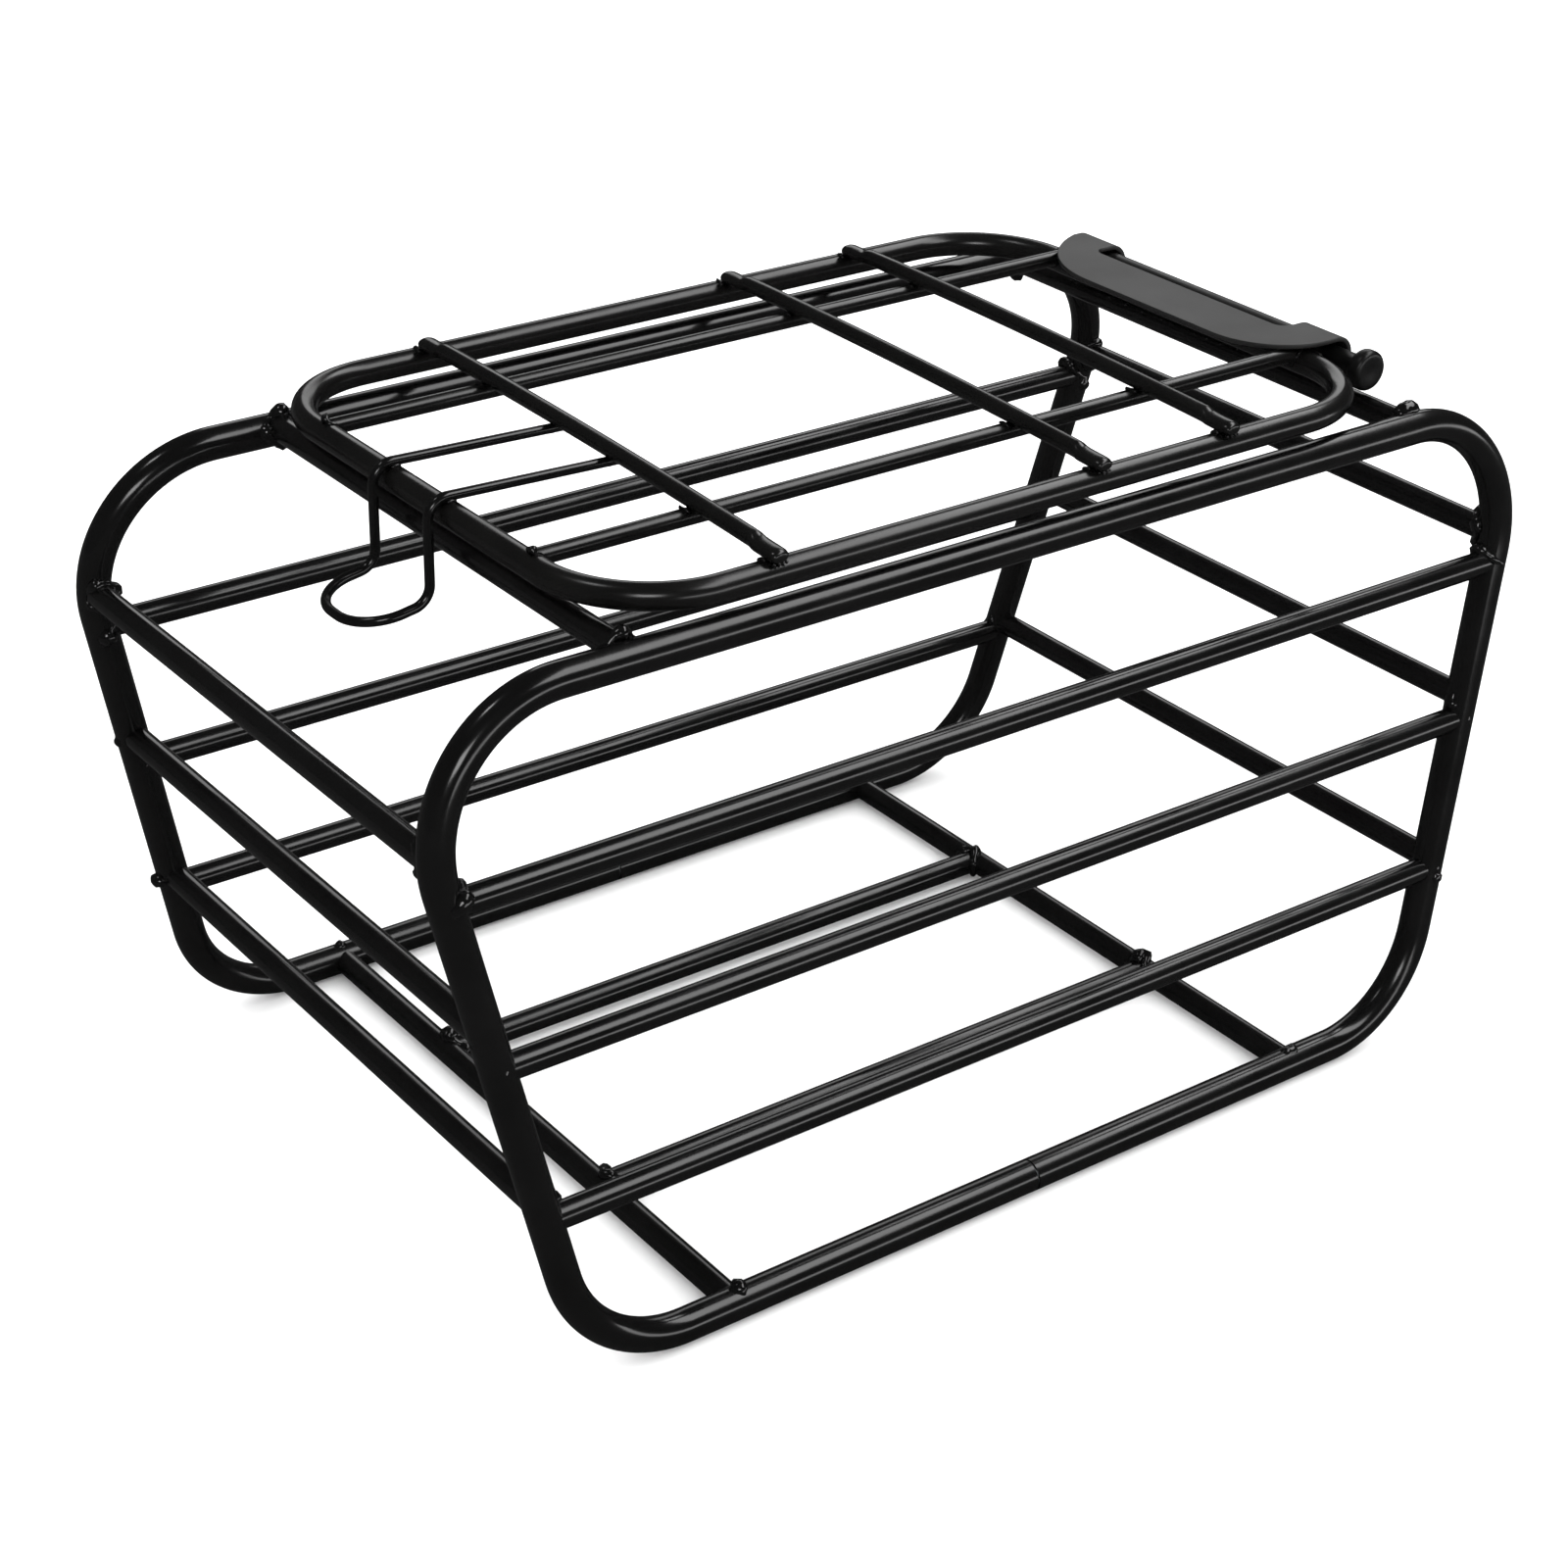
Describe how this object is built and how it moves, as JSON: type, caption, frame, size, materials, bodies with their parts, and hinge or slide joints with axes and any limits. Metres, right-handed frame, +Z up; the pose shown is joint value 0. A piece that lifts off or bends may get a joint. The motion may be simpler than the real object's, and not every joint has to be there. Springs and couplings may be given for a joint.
{
  "type": "bicycle carrier basket",
  "caption": "Welded steel tube carrier basket with leaning sides, a hinged rod lid and a spring wire latch with a finger tab.",
  "frame": {"origin": "floor level under the middle of the basket", "axes": "+X towards the lid's hinge, +Y towards the far side frame, +Z up"},
  "size_m": [0.3892, 0.233, 0.2249],
  "materials": {
    "gloss_black_tube": "gloss",
    "satin_black_tube": "semi-gloss",
    "satin_black_sheet": "satin",
    "matt_black_pin": "matt",
    "gloss_black_wire": "gloss",
    "bare_steel": "brushed"
  },
  "bodies": {
    "basket": {"near_side_frame": "gloss_black_tube", "far_side_frame": "gloss_black_tube", "near_seam_spigot": "bare_steel", "far_seam_spigot": "bare_steel", "near_rod_low": "gloss_black_tube", "near_rod_mid": "gloss_black_tube", "near_rod_high": "gloss_black_tube", "far_rod_low": "gloss_black_tube", "far_rod_mid": "gloss_black_tube", "far_rod_high": "gloss_black_tube", "latch_end_rod_low": "gloss_black_tube", "latch_end_rod_mid": "gloss_black_tube", "latch_end_rod_high": "gloss_black_tube", "hinge_end_rod_low": "gloss_black_tube", "hinge_end_rod_mid": "gloss_black_tube", "hinge_end_rod_high": "gloss_black_tube", "bottom_cross_latch": "gloss_black_tube", "bottom_cross_hinge": "gloss_black_tube", "bottom_rod_near": "gloss_black_tube", "bottom_rod_far": "gloss_black_tube", "rim_cross_latch": "gloss_black_tube", "rim_cross_hinge": "gloss_black_tube", "hinge_sleeve": "satin_black_sheet", "hinge_pin": "matt_black_pin", "pin_clip": "bare_steel"},
    "lid": {"lid_loop": "satin_black_tube", "lid_cross_latch": "satin_black_tube", "lid_cross_mid": "satin_black_tube", "lid_cross_hinge": "satin_black_tube", "lid_rod_near": "satin_black_tube", "lid_rod_far": "satin_black_tube", "hinge_bracket": "satin_black_sheet", "latch_wire": "gloss_black_wire"}
  },
  "joints": [
    {"name": "lid_hinge", "type": "hinge", "parent": "basket", "child": "lid", "pos_m": [0.15, 0, 0.2153], "axis": [0, 1, 0], "range_deg": [0, 180]}
  ]
}
